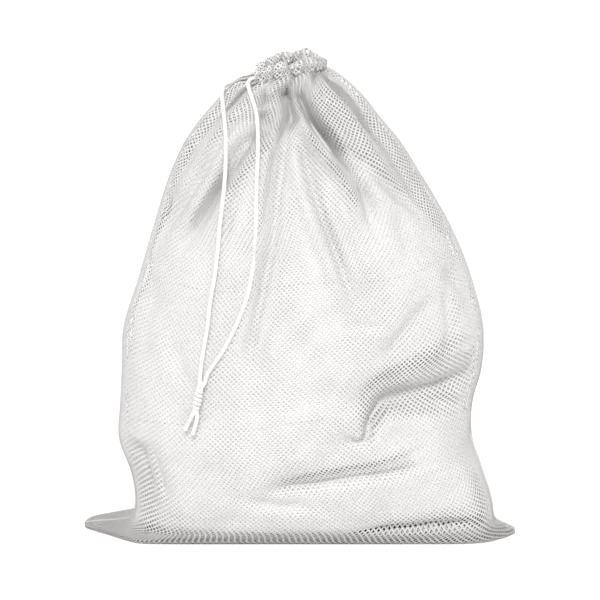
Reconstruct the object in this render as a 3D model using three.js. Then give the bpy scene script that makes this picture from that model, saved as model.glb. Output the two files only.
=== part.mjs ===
// A filled mesh laundry bag standing on the floor: two mesh panels sewn down the sides and along
// the bottom, a hem gathered into a casing on a drawcord, and the laundry that fills it.
// Millimetres, +Z up. The front of the bag faces -Y. The origin is on the floor, under the middle.
import * as THREE from 'three';

// ---- Driving dimensions -------------------------------------------------------------------
const TIP = 304.5; // half the bottom seam, from corner tip to corner tip
const LEFT_TIP_Y = 15; // the bottom seam runs slightly askew under the load
const RIGHT_TIP_Y = -20;
const CLOTH = 1.2; // wall of the mesh cloth, with its yarns
const SEAM = 1.2; // thickness of the sewn seam allowance
const SEAM_DEPTH = 2.5; // how far the allowance reaches into the bag
const GAP = 0.3; // clearance between pieces that touch
const CORNER_HEIGHT = 6; // height of the flattened corner flaps
const CORD = 6; // drawcord diameter
const CASING_RADIUS = 10; // the gathered hem, rolled round the cord
const CHANNEL_RADIUS = 5.2; // the channel that the cord runs in
const RUFFLE = 1.3; // height of the gathers on the casing
const RUFFLES = 12; // gathers along the casing
const BEND_GAP = 0.2; // of a step of the route, on each side of a bend, so that the free run can swing
const KNOT_LENGTH = 42;
const KNOT_RADIUS = 6.6;

// ---- Resolution ---------------------------------------------------------------------------
const COLUMNS = 26; // across one panel
const CASING_STEPS = 48;
const CASING_SIDES = 10;
const CORD_SIDES = 8;
const CORD_STEP = 2 * CORD;
const LOAD_SIDES = 26;

// ---- The filled body: level sections, from the floor up to the shoulders ----------------------
// left and right are the side edges, depth is half the thickness, square is the roundness (2 is oval)
const SECTIONS = [
  { z: 14, left: -233, right: 271, depth: 84, square: 4.5 },
  { z: 43, left: -229, right: 268, depth: 96, square: 3.8 },
  { z: 87, left: -236, right: 254, depth: 108, square: 3.2 },
  { z: 130, left: -252, right: 240, depth: 115, square: 2.7 },
  { z: 188, left: -250, right: 240, depth: 118, square: 2.5 },
  { z: 232, left: -248, right: 252, depth: 118, square: 2.4 },
  { z: 290, left: -246, right: 255, depth: 115, square: 2.3 },
  { z: 362, left: -225, right: 239, depth: 108, square: 2.2 },
  { z: 435, left: -204, right: 211, depth: 95, square: 2.1 },
  { z: 521, left: -177, right: 163, depth: 74, square: 2 },
  { z: 565, left: -157, right: 136, depth: 60, square: 2 },
  { z: 600, left: -135, right: 109, depth: 49, square: 2 },
  { z: 623, left: -118, right: 93, depth: 42, square: 2 },
];
const FLOOR_ROWS = 3; // rows of a panel that lie below the body: under the load and round the flaps
const NECK_STEPS = [0.4, 0.75, 1]; // rows between the shoulders and the casing
const NECK_BULGE = 4;
const SHOULDER_RISE = 9;

// Edge of the cloth on the floor, from the left corner tip to the right one
const FRONT_FOOTPRINT = [
  [-TIP, LEFT_TIP_Y], [-290, -10], [-268, -36], [-247, -64], [-230, -79], [-190, -83],
  [-80, -83], [20, -83], [150, -83], [240, -81], [262, -74], [281, -58], [297, -38], [TIP, RIGHT_TIP_Y],
];
const BACK_FOOTPRINT = [
  [-TIP, LEFT_TIP_Y], [-292, 34], [-270, 54], [-245, 72], [-215, 81], [-120, 83],
  [20, 83], [130, 83], [180, 81], [215, 66], [245, 36], [270, 6], [290, -12], [TIP, RIGHT_TIP_Y],
];

// Centre line of the casing: out of the left opening, across the front, round the right side
// and back across the back to the left opening
const CASING_ROUTE = [
  [-62, -15, 657], [-50, -22, 663], [-33, -26, 669], [-14, -26, 673], [6, -24, 676],
  [24, -17, 677], [33, -1, 675], [24, 16, 678], [6, 23, 680], [-14, 26, 678],
  [-33, 26, 672], [-49, 22, 665], [-61, 17, 659],
];
const CASING_RIGHT = 6; // index of the casing's point on the right side seam

// The drawcord's two leads, between the casing's ends and the bends where the free runs start
const LEFT_LEAD = [[-107.5, -6, 638], [-105, 6, 640], [-97, 14, 643], [-85, 17.5, 647], [-73, 18, 652]];
const RIGHT_LEAD = [[-68.5, -17, 655]];

// The free runs lie down the front of the bag, from their bends at its shoulder to the knot
const LEFT_RUN = [
  [-108.5, -17, 632], [-107, -27.5, 620], [-105, -38.5, 603], [-103, -49, 580], [-103, -58, 550],
  [-105, -67.5, 517], [-108.5, -74.5, 485], [-112, -82, 455], [-114.5, -88.5, 425], [-119, -95, 390],
  [-125, -100.5, 355], [-129, -104.5, 320], [-134.5, -108.5, 288], [-138, -111.5, 262], [-139.5, -113.4, 244],
];
const RIGHT_RUN = [
  [-72, -23, 651], [-70.5, -33, 644], [-66, -41, 632], [-61, -49, 616], [-58.5, -58, 592],
  [-58.5, -67.5, 560], [-60, -76.5, 523], [-61, -86, 484], [-62, -95, 446], [-65, -101.5, 410],
  [-71.5, -107.5, 374], [-81.5, -110.5, 344], [-93.5, -112, 316], [-107, -113, 290],
  [-121, -113.6, 269], [-129.5, -114, 255], [-132.8, -114.2, 244],
];
const KNOT_TOP = [-138, -114.6, 242];
const KNOT_BOTTOM = [-146.5, -115.2, 200];
const LEFT_TAIL = [[-150, -114.6, 197.2], [-153, -113.8, 191], [-156.5, -112.6, 183], [-160.5, -111.4, 174]];
const RIGHT_TAIL = [[-143.3, -115.4, 196.6], [-144.5, -114.6, 188], [-147, -113.6, 178], [-149.5, -112.8, 168]];

// The laundry lies in three bundles, one on another
const LOAD_CLEARANCE = 7;
const BUNDLES = [
  { name: 'laundry_bottom', low: 8, high: 198, crown: 28 },
  { name: 'laundry_middle', low: 200, high: 392, crown: 32 },
  { name: 'laundry_top', low: 394, high: 572, crown: 44 },
];

// ---- Materials ----------------------------------------------------------------------------
const MATERIALS = {
  mesh: new THREE.MeshStandardMaterial({ color: 0xdedada, roughness: 0.8, metalness: 0, side: THREE.DoubleSide }),
  seam: new THREE.MeshStandardMaterial({ color: 0xe6e4e3, roughness: 0.75, metalness: 0 }),
  cord: new THREE.MeshStandardMaterial({ color: 0xf7f6f2, roughness: 0.65, metalness: 0 }),
  laundry: new THREE.MeshStandardMaterial({ color: 0xf4f4f3, roughness: 0.95, metalness: 0 }),
};

// ---- Curves -------------------------------------------------------------------------------
// Half of one level section, from the left side seam round the front (side -1) or back (side 1)
class HalfSection extends THREE.Curve {
  constructor({ z, left, right, depth, square }, side, inset = 0) {
    super();
    this.z = z;
    this.middle = (left + right) / 2;
    this.halfWidth = (right - left) / 2 - inset;
    this.depth = depth - inset;
    this.power = 2 / square;
    this.side = side;
  }

  getPoint(t, target = new THREE.Vector3()) {
    const across = -Math.cos(Math.PI * t);
    const x = this.middle + this.halfWidth * Math.sign(across) * Math.abs(across) ** this.power;
    const y = this.side * (panelEdge() + this.depth * Math.sin(Math.PI * t) ** this.power);
    return target.set(x, y, this.z);
  }
}

// A stretch of another curve
class Stretch extends THREE.Curve {
  constructor(curve, from, to) {
    super();
    this.curve = curve;
    this.from = from;
    this.to = to;
  }

  getPoint(t, target = new THREE.Vector3()) {
    return this.curve.getPoint(THREE.MathUtils.lerp(this.from, this.to, t), target);
  }
}

// Distance from the seam's middle to the edge of each panel
function panelEdge() {
  return SEAM / 2 + GAP;
}

function points(list) {
  return list.map(([x, y, z = 0]) => new THREE.Vector3(x, y, z));
}

function smooth(list) {
  return new THREE.CatmullRomCurve3(points(list), false, 'centripetal');
}

function bottomSeamY(x) {
  return THREE.MathUtils.mapLinear(x, -TIP, TIP, LEFT_TIP_Y, RIGHT_TIP_Y);
}

// ---- Solids -------------------------------------------------------------------------------
// A closed body from triangles; it is turned inside out if its faces point in
function solid(triangles) {
  let volume = 0;
  for (const [a, b, c] of triangles) volume += a.dot(b.clone().cross(c));
  const facing = volume < 0 ? triangles.map(([a, b, c]) => [a, c, b]) : triangles;
  const geometry = new THREE.BufferGeometry().setFromPoints(facing.flat());
  geometry.computeVertexNormals();
  return geometry;
}

function quad(a, b, c, d) {
  return [[a, b, c], [a, c, d]];
}

// Walls between successive rows of points; wrap joins the last column to the first
function skin(rows, wrap) {
  const triangles = [];
  const columns = rows[0].length - (wrap ? 0 : 1);
  for (let i = 0; i + 1 < rows.length; i++) {
    for (let j = 0; j < columns; j++) {
      const next = (j + 1) % rows[0].length;
      triangles.push(...quad(rows[i][j], rows[i][next], rows[i + 1][next], rows[i + 1][j]));
    }
  }
  return triangles;
}

// A thin wall between an outer and an inner grid of points
function shell(outer, inner, wrap) {
  const triangles = skin(outer, wrap);
  triangles.push(...skin(inner, wrap).map(([a, b, c]) => [a, c, b]));
  triangles.push(...skin([inner[0], outer[0]], wrap));
  triangles.push(...skin([outer.at(-1), inner.at(-1)], wrap));
  if (!wrap) {
    const column = (grid, j) => grid.map((row) => row.at(j));
    triangles.push(...skin([column(outer, 0), column(inner, 0)], false));
    triangles.push(...skin([column(inner, -1), column(outer, -1)], false));
  }
  return solid(triangles);
}

// A body lofted through closed rings, with a fan at each end
function loft(rings) {
  const triangles = skin(rings, true);
  for (const [ring, flip] of [[rings[0], false], [rings.at(-1), true]]) {
    const centre = new THREE.Vector3();
    for (const point of ring) centre.addScaledVector(point, 1 / ring.length);
    ring.forEach((point, j) => {
      const next = ring[(j + 1) % ring.length];
      triangles.push(flip ? [centre, point, next] : [centre, next, point]);
    });
  }
  return solid(triangles);
}

function circle(radius, sides) {
  const shape = new THREE.Shape();
  for (let k = 0; k < sides; k++) {
    const angle = (2 * Math.PI * k) / sides;
    const place = k === 0 ? 'moveTo' : 'lineTo';
    shape[place](radius * Math.cos(angle), radius * Math.sin(angle));
  }
  return shape;
}

function rope(curve) {
  const steps = Math.max(3, Math.round(curve.getLength() / CORD_STEP));
  return new THREE.ExtrudeGeometry(circle(CORD / 2, CORD_SIDES), { steps, extrudePath: curve, bevelEnabled: false });
}

// A straight-sided strip of cloth edge, across the seam, following its outer line
function seamStrip(line) {
  const half = SEAM / 2;
  const rings = line.map((point, i) => {
    const before = line[Math.max(i - 1, 0)];
    const after = line[Math.min(i + 1, line.length - 1)];
    const along = after.clone().sub(before).setY(0).normalize();
    const inward = new THREE.Vector3(along.z, 0, -along.x);
    if (inward.x * point.x > 0) inward.negate();
    if (Math.abs(along.x) > 0.99) inward.set(0, 0, 1);
    const inner = point.clone().addScaledVector(inward, SEAM_DEPTH);
    return [[point, -half], [point, half], [inner, half], [inner, -half]].map(
      ([corner, shift]) => corner.clone().add(new THREE.Vector3(0, shift, 0)),
    );
  });
  return loft(rings);
}

// ---- The bag ------------------------------------------------------------------------------
const casingCurve = smooth(CASING_ROUTE);

// The casing above one panel, from the left opening to the right side seam
function casingHalf(side) {
  const right = CASING_RIGHT / (CASING_ROUTE.length - 1);
  return new Stretch(casingCurve, side < 0 ? 0 : 1, right);
}

function bottomSeamRow(side, inset) {
  const row = [];
  for (let j = 0; j <= COLUMNS; j++) {
    const x = THREE.MathUtils.lerp(-TIP + inset, TIP - inset, j / COLUMNS);
    row.push(new THREE.Vector3(x, bottomSeamY(x) + side * panelEdge(), inset > 0 ? CLOTH : 0));
  }
  return row;
}

function footprintRow(side, inset, z) {
  const outline = side < 0 ? FRONT_FOOTPRINT : BACK_FOOTPRINT;
  const row = smooth(outline).getSpacedPoints(COLUMNS);
  const narrowing = 1 - inset / TIP;
  for (const point of row) {
    const offSeam = (point.y - bottomSeamY(point.x)) * narrowing;
    point.x *= narrowing;
    point.y = bottomSeamY(point.x) + offSeam + side * panelEdge();
    point.z = z;
  }
  return row;
}

// The panel's top edge, just under the casing; outward is away from the mouth's middle
function casingEdgeRow(side, outward) {
  const half = casingHalf(side);
  const row = half.getSpacedPoints(COLUMNS);
  const middle = new THREE.Vector3(-30, 0, 0);
  row.forEach((point, j) => {
    const away = point.clone().sub(middle).setZ(0).normalize();
    const slope = half.getTangentAt(j / COLUMNS).z;
    const atRightSeam = j === COLUMNS;
    point.addScaledVector(away, outward);
    point.z -= (CASING_RADIUS + RUFFLE + 2 * GAP) / Math.sqrt(1 - slope * slope);
    if (atRightSeam) point.y = side * panelEdge();
  });
  return row;
}

function panelRows(side, inset) {
  const cornerInset = 2 * inset;
  const rows = [
    bottomSeamRow(side, cornerInset),
    footprintRow(side, cornerInset, inset),
    footprintRow(side, cornerInset, CORNER_HEIGHT - inset),
  ];
  SECTIONS.forEach((section, i) => {
    const lifted = i === 0 ? { ...section, z: section.z - inset } : section;
    rows.push(new HalfSection(lifted, side, inset).getSpacedPoints(COLUMNS));
  });
  const shoulder = rows.at(-1);
  const top = casingEdgeRow(side, CLOTH / 2 - inset);
  for (const step of NECK_STEPS) {
    const bulge = Math.sin(Math.PI * step);
    rows.push(shoulder.map((point, j) => {
      const facing = Math.sin((Math.PI * j) / COLUMNS);
      const out = side * NECK_BULGE * bulge * facing;
      const up = SHOULDER_RISE * bulge * (1 - facing);
      return point.clone().lerp(top[j], step).add(new THREE.Vector3(0, out, up));
    }));
  }
  return rows;
}

function panel(side) {
  return shell(panelRows(side, 0), panelRows(side, CLOTH), false);
}

// The side seams stand between the panels' edges, from the foot of the body up. The left one
// stops at the shoulder, where the casing opens to let the drawcord out
function sideSeam(edge) {
  const column = edge === 'left' ? 0 : -1;
  const rows = panelRows(-1, 0).slice(FLOOR_ROWS);
  const stitched = edge === 'left' ? rows.slice(0, SECTIONS.length) : rows;
  return seamStrip(stitched.map((row) => row.at(column).clone().setY(0)));
}

function bottomSeam() {
  const line = [-1, -0.5, 0, 0.5, 1].map((step) => {
    const x = step * (TIP - 4);
    return new THREE.Vector3(x, bottomSeamY(x), GAP);
  });
  return seamStrip(line);
}

// The hem gathered round the drawcord, open at both ends
function casing() {
  const frames = casingCurve.computeFrenetFrames(CASING_STEPS, false);
  const ring = (radius, i) => {
    const centre = casingCurve.getPointAt(i / CASING_STEPS);
    return Array.from({ length: CASING_SIDES }, (_, k) => {
      const angle = (2 * Math.PI * k) / CASING_SIDES;
      return centre.clone()
        .addScaledVector(frames.normals[i], radius * Math.cos(angle))
        .addScaledVector(frames.binormals[i], radius * Math.sin(angle));
    });
  };
  const outer = [];
  const inner = [];
  for (let i = 0; i <= CASING_STEPS; i++) {
    const gather = RUFFLE * Math.sin((2 * Math.PI * RUFFLES * i) / CASING_STEPS);
    outer.push(ring(CASING_RADIUS + gather, i));
    inner.push(ring(CHANNEL_RADIUS, i));
  }
  return shell(outer, inner, true);
}

// The drawcord is one cord, up the left run, through the casing and down the right run. Its
// pieces are stretches of that route, counted along the route's points
const cordRoute = [
  ...LEFT_RUN.toReversed(), ...LEFT_LEAD, ...CASING_ROUTE.toReversed(), ...RIGHT_LEAD, ...RIGHT_RUN,
];
const cordEnd = cordRoute.length - 1;
const leftBend = LEFT_RUN.length - 1;
const rightBend = cordRoute.length - RIGHT_RUN.length;

function drawcord(from, to) {
  return rope(new Stretch(smooth(cordRoute), from / cordEnd, to / cordEnd));
}

// The two cords are tied together in a wrapped knot
function knot() {
  const wraps = 3;
  const profile = [new THREE.Vector2(0, 0)];
  for (let k = 0; k <= 4 * wraps; k++) {
    const along = k / (4 * wraps);
    const round = Math.sin(Math.PI * THREE.MathUtils.lerp(0.12, 0.88, along)) ** 0.5;
    const wrap = 1 - 0.1 * Math.cos(2 * Math.PI * wraps * along);
    profile.push(new THREE.Vector2(KNOT_RADIUS * round * wrap * 0.92, KNOT_LENGTH * along));
  }
  profile.push(new THREE.Vector2(0, KNOT_LENGTH));
  return new THREE.LatheGeometry(profile, 12);
}

// A bundle of laundry that fills the bag between two heights
function bundle({ low, high, crown }) {
  const layers = [[0, 1], [0.06, 0.45], [0.2, 0.1], [0.5, 0], [0.8, 0.1], [0.94, 0.45], [1, 1]];
  const rings = layers.map(([rise, pinch]) => {
    const z = THREE.MathUtils.lerp(low, high, rise);
    return loadRing(z, LOAD_CLEARANCE + crown * pinch);
  });
  return loft(rings);
}

function sectionAt(z) {
  const above = Math.max(1, SECTIONS.findIndex((section) => section.z >= z));
  const lower = SECTIONS[above - 1];
  const upper = SECTIONS[above];
  const section = { z };
  for (const key of ['left', 'right', 'depth', 'square']) {
    section[key] = THREE.MathUtils.mapLinear(Math.max(z, lower.z), lower.z, upper.z, lower[key], upper[key]);
  }
  return section;
}

function loadRing(z, inset) {
  const section = sectionAt(z);
  const half = LOAD_SIDES / 2;
  const front = new HalfSection(section, -1, inset).getSpacedPoints(half).slice(0, half);
  const back = new HalfSection(section, 1, inset).getSpacedPoints(half).slice(1).reverse();
  return [...front, ...back];
}

// ---- Assembly -----------------------------------------------------------------------------
const bag = new THREE.Group();

function add(name, geometry, material) {
  const mesh = new THREE.Mesh(geometry, material);
  mesh.name = name;
  bag.add(mesh);
  return mesh;
}

add('front_panel', panel(-1), MATERIALS.mesh);
add('back_panel', panel(1), MATERIALS.mesh);
add('left_side_seam', sideSeam('left'), MATERIALS.seam);
add('right_side_seam', sideSeam('right'), MATERIALS.seam);
add('bottom_seam', bottomSeam(), MATERIALS.seam);
add('drawcord_casing', casing(), MATERIALS.mesh);
add('drawcord_in_casing', drawcord(leftBend + BEND_GAP, rightBend - BEND_GAP), MATERIALS.cord);
add('drawcord_left_run', drawcord(0, leftBend - BEND_GAP), MATERIALS.cord);
add('drawcord_right_run', drawcord(rightBend + BEND_GAP, cordEnd), MATERIALS.cord);
add('drawcord_left_tail', rope(smooth(LEFT_TAIL)), MATERIALS.cord);
add('drawcord_right_tail', rope(smooth(RIGHT_TAIL)), MATERIALS.cord);

const tied = add('drawcord_knot', knot(), MATERIALS.cord);
const [knotTop, knotBottom] = points([KNOT_TOP, KNOT_BOTTOM]);
const knotDirection = knotTop.clone().sub(knotBottom).normalize();
tied.quaternion.setFromUnitVectors(new THREE.Vector3(0, 1, 0), knotDirection);
tied.position.copy(knotBottom);

for (const load of BUNDLES) add(load.name, bundle(load), MATERIALS.laundry);

export default bag;
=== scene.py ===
# The looks of a filled mesh laundry bag: open knitted net over white laundry, a gathered casing,
# overlocked seams and a braided drawcord with a wrapped knot. Metres, in the CAD model's frame.
import math

import bpy
import numpy as np
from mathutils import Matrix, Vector


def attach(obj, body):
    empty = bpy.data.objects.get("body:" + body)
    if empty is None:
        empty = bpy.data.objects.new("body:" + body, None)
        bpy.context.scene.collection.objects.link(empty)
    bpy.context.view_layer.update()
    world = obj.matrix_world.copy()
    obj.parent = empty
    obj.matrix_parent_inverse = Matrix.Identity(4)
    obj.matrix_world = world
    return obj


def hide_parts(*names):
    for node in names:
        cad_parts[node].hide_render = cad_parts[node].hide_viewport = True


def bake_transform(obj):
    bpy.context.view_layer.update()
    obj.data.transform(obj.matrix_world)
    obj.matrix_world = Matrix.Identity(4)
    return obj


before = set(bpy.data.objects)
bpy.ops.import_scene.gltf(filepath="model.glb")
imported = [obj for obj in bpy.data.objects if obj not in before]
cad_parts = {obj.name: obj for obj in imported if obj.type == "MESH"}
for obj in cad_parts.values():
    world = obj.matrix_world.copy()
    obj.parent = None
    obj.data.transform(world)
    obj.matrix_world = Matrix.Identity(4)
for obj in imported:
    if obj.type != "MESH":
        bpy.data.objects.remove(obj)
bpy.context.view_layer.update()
rng = np.random.default_rng(24)


# ---- Small tools ----
def smoothstep(x):
    x = np.clip(x, 0, 1)
    return x * x * (3 - 2 * x)


def rising(x, start, span):
    """0 up to start, 1 from a span beyond it, and smooth between."""
    return smoothstep((x - start) / span)


def unit(vectors):
    return vectors / np.maximum(np.linalg.norm(vectors, axis=-1, keepdims=True), 1e-9)


def read_at(places, along, values):
    """The rows of values, known at along, at other places."""
    return np.stack([np.interp(places, along, values[:, k]) for k in range(values.shape[1])], axis=1)


def even(line, count):
    """count points evenly spaced along a polyline."""
    line = np.asarray(line, float)
    along = np.concatenate([[0], np.cumsum(np.linalg.norm(np.diff(line, axis=0), axis=1))])
    return read_at(np.linspace(0, along[-1], count), along, line)


def length_of(line):
    return float(np.linalg.norm(np.diff(line, axis=0), axis=1).sum())


def spline(points, spacing):
    """Even steps along a centripetal Catmull-Rom curve through given points."""
    p = np.array(points, float)
    p = np.vstack([2 * p[0] - p[1], p, 2 * p[-1] - p[-2]])
    fine = []
    for a, b, c, d in zip(p, p[1:], p[2:], p[3:]):
        gaps = [max(np.linalg.norm(y - x), 1e-9) ** 0.5 for x, y in ((a, b), (b, c), (c, d))]
        ta, tb, tc, td = np.cumsum([0, *gaps])
        t = np.linspace(tb, tc, 24, endpoint=False)[:, None]
        ab = ((tb - t) * a + (t - ta) * b) / (tb - ta)
        bc = ((tc - t) * b + (t - tb) * c) / (tc - tb)
        cd = ((td - t) * c + (t - tc) * d) / (td - tc)
        abc = ((tc - t) * ab + (t - ta) * bc) / (tc - ta)
        bcd = ((td - t) * bc + (t - tb) * cd) / (td - tb)
        fine.append(((tc - t) * abc + (t - tb) * bcd) / (tc - tb))
    fine = np.vstack([*fine, p[-2]])
    return even(fine, max(3, round(length_of(fine) / spacing) + 1))


def frames_along(line):
    """Two directions across a line, that don't twist along it."""
    tangent = unit(np.gradient(line, axis=0))
    side = np.zeros_like(line)
    start = np.cross(tangent[0], (0.0, 0.0, 1.0))
    side[0] = unit(start if np.linalg.norm(start) > 0.1 else np.cross(tangent[0], (1.0, 0.0, 0.0)))
    for k in range(1, len(line)):
        side[k] = unit(side[k - 1] - tangent[k] * (side[k - 1] @ tangent[k]))
    return side, np.cross(tangent, side)


def make_mesh(name, vertices, faces, material, smooth=True):
    mesh = bpy.data.meshes.new(name)
    mesh.from_pydata(np.asarray(vertices, float).tolist(), [], [list(map(int, f)) for f in faces])
    mesh.materials.append(material)
    if smooth:
        mesh.shade_smooth()
    mesh.update()
    piece = bpy.data.objects.new(name, mesh)
    bpy.context.scene.collection.objects.link(piece)
    return piece


def ring_faces(rings, size):
    """Quads between the neighbours in a row of rings of that many vertices."""
    faces = []
    for i in range(rings - 1):
        for j in range(size):
            k = (j + 1) % size
            a, b = i * size, (i + 1) * size
            faces.append((a + j, a + k, b + k, b + j))
    return faces


def skin(rings, start, end):
    """Vertices and faces of a skin over a row of rings, closed with a fan round a point at each end."""
    count, size = len(rings), len(rings[0])
    faces = ring_faces(count, size)
    last = (count - 1) * size
    for j in range(size):
        k = (j + 1) % size
        faces.append((count * size, k, j))
        faces.append((count * size + 1, last + j, last + k))
    return np.vstack([*rings, start, end]), faces


def tube_parts(line, radius, sides):
    """Vertices and faces of a closed tube. radius(along, angle) is in metres, along in metres too."""
    side, other = frames_along(line)
    angle = np.linspace(0, 2 * np.pi, sides, endpoint=False)
    along = np.linspace(0, length_of(line), len(line))
    r = radius(along[:, None], angle[None, :]) * np.ones((len(line), sides))
    ring = side[:, None] * np.cos(angle)[None, :, None] + other[:, None] * np.sin(angle)[None, :, None]
    return skin(line[:, None] + ring * r[..., None], line[0], line[-1])


def tube(name, line, radius, sides, material):
    return make_mesh(name, *tube_parts(line, radius, sides), material)


# ---- Camera, light and floor ----
VIEW_ELEVATION = math.radians(15)
VIEW_WIDTH = 0.840  # how much the camera takes in at the bag
VIEW_HEIGHT = 0.333  # what it looks at
VIEW_DISTANCE = 14.0
SENSOR = 36.0

camera = bpy.data.objects.new("camera", bpy.data.cameras.new("camera"))
bpy.context.scene.collection.objects.link(camera)
camera.data.sensor_width = SENSOR
camera.data.lens = SENSOR * VIEW_DISTANCE / VIEW_WIDTH
backward = Vector((0, -math.cos(VIEW_ELEVATION), math.sin(VIEW_ELEVATION)))
camera.location = Vector((0, 0, VIEW_HEIGHT)) + backward * VIEW_DISTANCE
camera.rotation_euler = (-backward).to_track_quat("-Z", "Y").to_euler()
camera.data.clip_end = 100
bpy.context.scene.camera = camera
bpy.context.scene.view_settings.view_transform = "Standard"

SKY_LIGHT = 0.90
world = bpy.data.worlds.new("studio")
world.use_nodes = True
sky = world.node_tree.nodes["Background"]
sky.inputs["Color"].default_value = (1.0, 1.0, 1.0, 1.0)
sky.inputs["Strength"].default_value = SKY_LIGHT
bpy.context.scene.world = world

# The key: a large soft light, far off in front and above
KEY_AZIMUTH, KEY_ELEVATION, KEY_SPREAD = (math.radians(angle) for angle in (-3, 40, 20))
KEY_STRENGTH = 2.9
key = bpy.data.objects.new("key", bpy.data.lights.new("key", "SUN"))
key.data.angle = KEY_SPREAD
key.data.energy = KEY_STRENGTH
to_key = Vector((math.sin(KEY_AZIMUTH) * math.cos(KEY_ELEVATION),
                 -math.cos(KEY_AZIMUTH) * math.cos(KEY_ELEVATION), math.sin(KEY_ELEVATION)))
key.rotation_euler = (-to_key).to_track_quat("-Z", "Y").to_euler()
bpy.context.scene.collection.objects.link(key)


# ---- Materials ----
SPECULAR = 0.25
PATCH_EDGES = (0.34, 0.66)  # where in the noise the dark tone ends and the light one starts
WAVE_PERIOD = 0.314  # of the wave texture at scale 1
WAVE_DISTORTION = 1.5


def material(name, dark, light, patch, roughness, sheen=0.0, glow=0.0, bump=(), foot=None):
    """A cloth-like finish: colour that drifts between two tones in patches of that size, sheen, light
    that comes through it (glow), and layers of bump as (kind, size, height) in metres. foot is painted
    shade towards the floor: how high above the floor the colour starts to darken, and the share of its
    colour left in the lowest third."""
    made = bpy.data.materials.new(name)
    made.use_nodes = True
    nodes, links = made.node_tree.nodes, made.node_tree.links

    def add(kind, **values):
        node = nodes.new("ShaderNode" + kind)
        for socket, value in values.items():
            node.inputs[socket.replace("_", " ")].default_value = value
        return node

    shader = nodes["Principled BSDF"]
    shader.inputs["Roughness"].default_value = roughness
    shader.inputs["Sheen Weight"].default_value = sheen
    shader.inputs["Specular IOR Level"].default_value = SPECULAR
    place = add("TexCoord").outputs["Object"]

    def noise(size, detail=2.0):
        node = add("TexNoise", Scale=1 / size, Detail=detail)
        links.new(place, node.inputs["Vector"])
        return node.outputs["Fac"]

    ramp = add("ValToRGB")
    for stop, position, tone in zip(ramp.color_ramp.elements, PATCH_EDGES, (dark, light)):
        stop.position = position
        stop.color = (*tone, 1)
    links.new(noise(patch, 4.0), ramp.inputs["Fac"])
    colour = ramp.outputs["Color"]
    # painted shade: below foot's height the colour is darkened towards the floor
    if foot:
        height, share = foot
        apart = add("SeparateXYZ")
        links.new(place, apart.inputs["Vector"])
        fade = add("MapRange", From_Min=height / 3, From_Max=height, To_Min=share)
        links.new(apart.outputs["Z"], fade.inputs["Value"])
        shade = add("VectorMath")
        shade.operation = "SCALE"
        links.new(colour, shade.inputs[0])
        links.new(fade.outputs["Result"], shade.inputs["Scale"])
        colour = shade.outputs["Vector"]
    links.new(colour, shader.inputs["Base Color"])
    normal = None
    for kind, size, height in bump:
        if kind == "noise":
            pattern = noise(size)
        else:
            wave = add("TexWave", Scale=WAVE_PERIOD / size, Distortion=WAVE_DISTORTION)
            wave.bands_direction = kind
            links.new(place, wave.inputs["Vector"])
            pattern = wave.outputs["Fac"]
        step = add("Bump", Distance=height)
        links.new(pattern, step.inputs["Height"])
        if normal:
            links.new(normal, step.inputs["Normal"])
        normal = step.outputs["Normal"]
    if normal:
        links.new(normal, shader.inputs["Normal"])
    if glow:
        through = add("BsdfTranslucent")
        links.new(colour, through.inputs["Color"])
        mix = add("MixShader", Fac=glow)
        links.new(shader.outputs["BSDF"], mix.inputs[1])
        links.new(through.outputs["BSDF"], mix.inputs[2])
        links.new(mix.outputs["Shader"], nodes["Material Output"].inputs["Surface"])
    return made


# The net's colour carries painted shade: it is darkened in its lowest 30 mm, towards the floor
NET = material("knitted_net", (0.570, 0.558, 0.553), (0.610, 0.599, 0.593), 0.05, 0.75, sheen=0.1, glow=0.1,
               bump=[("DIAGONAL", 0.0009, 0.00012), ("noise", 0.0006, 0.0001)], foot=(0.030, 0.68))
SEAM_CLOTH = material("seam_cloth", (0.42, 0.41, 0.405), (0.48, 0.47, 0.465), 0.03, 0.8, sheen=0.1,
                      bump=[("Z", 0.0011, 0.0001), ("noise", 0.0006, 0.0001)])
THREAD = material("overlock_thread", (0.42, 0.41, 0.405), (0.48, 0.47, 0.465), 0.02, 0.6, sheen=0.2,
                  bump=[("DIAGONAL", 0.0004, 0.00004)])
BRAID = material("braided_cord", (0.60, 0.595, 0.575), (0.68, 0.675, 0.655), 0.012, 0.62, sheen=0.2,
                 bump=[("DIAGONAL", 0.0005, 0.00005), ("noise", 0.0004, 0.00005)])
TERRY = material("terry_cotton", (0.85, 0.85, 0.84), (0.89, 0.89, 0.885), 0.05, 0.95, sheen=0.3,
                 bump=[("noise", 0.0011, 0.00015)])
FLOOR = material("studio_floor", (0.94, 0.94, 0.94), (0.95, 0.95, 0.95), 0.8, 0.9,
                 bump=[("noise", 0.004, 0.00005)])

FLOOR_REACH = 20.0
floor_corners = [(x * FLOOR_REACH, y * FLOOR_REACH, 0) for x, y in ((-1, -1), (1, -1), (1, 1), (-1, 1))]
floor = make_mesh("floor", floor_corners, [(0, 1, 2, 3)], FLOOR, smooth=False)

# ---- The drawcord ----
CORD = 0.006
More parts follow.
